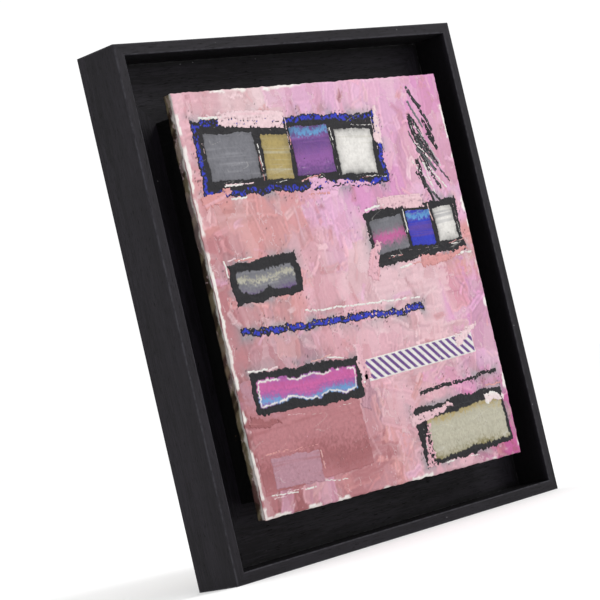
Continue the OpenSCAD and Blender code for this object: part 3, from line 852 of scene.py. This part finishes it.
# The colours of one patch, from how far in from its edge each point lies
def patchTints(patch, along, across, inside, streaks, grain, seed):
    tint = palette[patch["fill"]] * np.ones(along.shape + (1,))
    tint = glaze(tint, palette[patch["streak"]], 0.6 * ease(streaks, 0.02, 0.24))
    halfWide = patch["size"][1] * mm / 2
    for pigment, place, width in patch["bands"]:
        wander = across / halfWide + 0.5 * patchy(along, across, 26, 60, seed + 21)
        tint = glaze(tint, palette[pigment], 0.92 * hump(wander + 0.5 * grain, place, width))
    if patch["stripes"]:
        phase = (along + across) / (patch["stripes"] * mm)
        printed = ease(abs(phase - np.floor(phase) - 0.5), 0.28, 0.22) * ease(inside, 0.7 * mm, 1.0 * mm)
        tint = glaze(tint, palette["plum"], printed * ease(grain, -0.42, -0.3))
    slanted = along + 0.35 * across
    lines = hump(patchy(across - 0.2 * along, slanted, 7, 36, seed + 36, 2), 0.04, 0.006)
    lines = lines * ease(patchy(along, across, 12, 12, seed + 39), 0.0, 0.12)
    tint = glaze(tint, palette["cream"], patch["scratched"] * lines)
    rubbed = patch["vignette"] * np.exp(-np.maximum(inside, 0) / (3.2 * mm))
    rubbed = rubbed * (0.8 + 1.4 * patchy(along, across, 9, 9, seed + 30))
    tint = glaze(tint, palette["charcoal"], np.clip(rubbed, 0, 1))
    if patch["crayon"]:
        crumbs = ease(grain + 0.6 * patchy(along, across, 6, 6, seed + 33), -0.06, 0.05)
        crumbs = crumbs * ease(hump(inside, 2.6 * mm, 1.6 * mm), 0.2, 0.6)
        tint = glaze(tint, palette[patch["crayon"]], crumbs)
    line = patch["outline"] * mm * (1 + 0.9 * patchy(along, across, 16, 16, seed + 24))
    beside = line + 1.1 * mm + 1.2 * mm * grain
    broken = ease(patchy(along, across, 7, 7, seed + 27) + patch["chalk"], 0.45, 0.6)
    chalk = hump(inside, beside, 0.55 * mm) * broken
    tint = glaze(tint, palette["cream"], np.clip(1.3 * chalk, 0, 1) * (patch["chalk"] > 0))
    dark = ease(inside + 1.5 * mm * grain, line + 0.3 * mm, line - 0.3 * mm) * (patch["outline"] > 0)
    tint = glaze(tint, palette["charcoal"], dark)
    return tint * (1 + 0.30 * grain + 0.14 * streaks)[..., None]


# One patch on its own fine grid, turned to lie along its stroke. Its height is the ground's
# plus a body that is flat inside, raised near its ragged edge and lined by the blade. Past
# the edge, and where it is dry, it dips under the ground, which cuts it off. A flat face
# on the board closes it below
def patchSurface(patch, seed):
    halfLong, halfWide = np.array(patch["size"]) * mm / 2
    long, wide = halfLong + picture["margin"], halfWide + picture["margin"]
    cell = picture["fineCell"] * patch["coarse"]
    along = np.linspace(-long, long, round(2 * long / cell) + 1)
    across = np.linspace(-wide, wide, round(2 * wide / cell) + 1)
    along, across = np.meshgrid(along, across)
    u, v = rotate(along, across, math.radians(patch["turn"]))
    u, v = patch["at"][0] * mm + u, patch["at"][1] * mm + v
    ragged = 2 * patch["ragged"] * mm
    endWander = patchy(across, along, 9, 20, seed) + 0.6 * patchy(across, along, 1.6, 5, seed + 15)
    sideWander = patchy(along, across, 9, 20, seed + 3) + 0.6 * patchy(along, across, 1.6, 5, seed + 18)
    toEnd = halfLong - abs(along + ragged * endWander)
    narrowing = 1 - patch["taper"] * (0.5 + along / (2 * halfLong))
    toSide = halfWide * narrowing - abs(across + ragged * sideWander)
    grain = patchy(u, v, 1.3, 1.3, seed + 9)
    inside = np.minimum(toEnd, toSide) + 0.5 * ragged * np.minimum(grain, 0)
    streaks = 0.5 * patchy(across, along, 1.1, 34, seed + 6) + 0.5 * patchy(across, along, 4.2, 50, seed + 7)
    solid = ease(grain + 0.7 * streaks, patch["dry"] - 0.62, patch["dry"] - 0.50)
    body = ease(inside, -0.25 * mm, 0.45 * mm) * solid
    ridge = 0.24 * hump(inside, 0.8 * mm, 0.5 * mm) * (0.5 + patchy(u, v, 4, 4, seed + 12))
    level = patch["thick"] * (1 + 0.9 * streaks + 0.4 * grain) + ridge
    out = groundAt(u, v) + mm * (body * level - 0.22 * (1 - body))
    out = np.clip(out, 0.03 * mm, picture["most"])
    tints = patchTints(patch, along, across, inside, streaks, grain, seed)
    rows, columns = along.shape
    border = borderOf(rows, columns)
    foot = toTray(u.ravel()[border], v.ravel()[border], 0 * border)
    points = np.concatenate([toTray(u, v, out).reshape(-1, 3), foot])
    lower = np.arange(len(border)) + rows * columns
    quads = np.concatenate([gridFaces(rows, columns), ringFaces(border, lower)])
    flat = tints.reshape(-1, 3)
    return points, quads, lower[::-1], np.concatenate([flat, flat[border]])


# Several patches as one piece of the picture
def makePatches(name, patches, seed):
    points, quads, caps, tints, start = [], [], [], [], 0
    for index, given in enumerate(patches):
        made = patchSurface({**plainPatch, **given}, seed + 31 * index)
        points.append(made[0])
        quads.append(made[1] + start)
        caps.append(made[2] + start)
        tints.append(made[3])
        start += len(made[0])
    points, quads, tints = (np.concatenate(rows) for rows in (points, quads, tints))
    made = makePiece(name, points, quads, caps, tints, thickAcrylic)
    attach(made, "tray")
    print(name + ":", len(patches), "patches,", len(made.data.polygons), "faces")


# Crayon marks: a loose sheaf of broken lines beside each other, dark ones and chalky ones
def makeScribbles(count, seed):
    dice = np.random.default_rng(seed)
    marks = []
    for index in range(count):
        chalky = index % 4 == 3
        widths = (0.9, 1.8) if chalky else (1.6, 5.2)
        marks.append(slab((98 + 5 * dice.normal(), 88 + 16 * dice.normal()),
                          (dice.uniform(12, 42), dice.uniform(*widths)), 118 + 9 * dice.normal(),
                          "cream" if chalky else "charcoal", "ash", dry=dice.uniform(0.3, 0.5),
                          ragged=1.2, thick=0.26 if chalky else 0.18))
    return marks


# Slivers that the knife left beside the blocks, nearly along their sides, cream or pink
def makeSlivers(blocks, each, seed):
    dice = np.random.default_rng(seed)
    slivers = []
    for block in blocks:
        (long, wide), (u, v) = block["size"], block["at"]
        for _ in range(each):
            side, upright = dice.choice([-1, 1]), dice.random() < wide / (long + wide)
            slide = dice.uniform(-0.45, 0.45)
            away = dice.uniform(1.2, 3.2)
            atEnd, atSide = (side * (long / 2 + away), slide * wide), (slide * long, side * (wide / 2 + away))
            beside = rotate(*(atEnd if upright else atSide), math.radians(block["turn"]))
            slivers.append(slab((u + beside[0], v + beside[1]), (dice.uniform(7, 26), dice.uniform(0.8, 2.0)),
                                block["turn"] + 90 * upright + 5 * dice.normal(),
                                dice.choice(["cream", "cream", "shell", "salmon"]), "cream",
                                dry=dice.uniform(0.1, 0.45), ragged=0.9, thick=dice.uniform(0.12, 0.3)))
    # only those that lie whole on the board are kept
    farOut, farUp, farEnd = picture["sliverReach"]
    return [sliver for sliver in slivers
            if abs(sliver["at"][0]) < min(farOut, farEnd - sliver["size"][0] / 2)
            and abs(sliver["at"][1]) < farUp]


blocks = [patch for patch in allPatches if min(patch["size"]) > picture["blockLeast"]]
makePatches("knife_patches_upper", upperPatches, 3000)
makePatches("knife_patches_middle", middlePatches, 3155)
makePatches("knife_patches_lower", lowerPatches, 4000)
makePatches("striped_tape", tapes, 5000)
dragged = {"thick": 0.50, "dry": 0.3, "ragged": 2.6}
makePatches("dragged_overlaps", [{**dragged, **lap} for lap in overlaps], 5500)
makePatches("crayon_marks", makeScribbles(count=26, seed=8), 6000)
makePatches("knife_slivers", makeSlivers(blocks, each=5, seed=9), 7000)


def makeStage():
    bpy.ops.mesh.primitive_circle_add(vertices=96, radius=30, fill_type="NGON", location=(0, 0, 0))
    floor = bpy.context.object
    floor.name = "studio_floor"
    made, tree, shader = newMaterial("paleFloor", Roughness=0.9, Specular_IOR_Level=0.1)
    here = objectCoords(tree)
    pale = scaled(tree, noise(tree, here, 3.0, 2.0), 0.01, 0.955)
    connect(tree, grey(tree, pale), shader, "Base Color")
    floor.data.materials.append(made)


def makeLamp(name, place, aim, size, power):
    lamp = bpy.data.lights.new(name, "AREA")
    lamp.shape, lamp.size, lamp.energy = "DISK", size, power
    made = addObject(name, lamp)
    made.location = place
    direction = np.array(aim) - np.array(place)
    yaw = math.atan2(direction[1], direction[0]) - quarter
    pitch = math.atan2(direction[2], math.hypot(direction[0], direction[1])) + quarter
    made.rotation_euler = (pitch, 0, yaw)


world = bpy.data.worlds.new("softRoom")
bpy.context.scene.world = world
world.use_nodes = True
world.node_tree.nodes["Background"].inputs["Color"].default_value = (1, 1, 1, 1)
world.node_tree.nodes["Background"].inputs["Strength"].default_value = 1.06
bpy.context.scene.view_settings.view_transform = "Standard"
makeStage()
makeLamp("keyLamp", place=(1.1, -1.5, 1.5), aim=(0, 0, 0.17), size=0.8, power=22)

camera = {"lens": 137.6, "place": (-1.1065, -1.04745, 0.09995), "turn": (92.574, 13.119, -45.154)}
view = bpy.data.cameras.new("camera")
view.lens, view.sensor_width = camera["lens"], 36
view.clip_start, view.clip_end = 0.05, 100
viewObject = addObject("camera", view)
viewObject.location = camera["place"]
viewObject.rotation_euler = [math.radians(angle) for angle in camera["turn"]]
bpy.context.scene.camera = viewObject
print("stage, light and camera set")
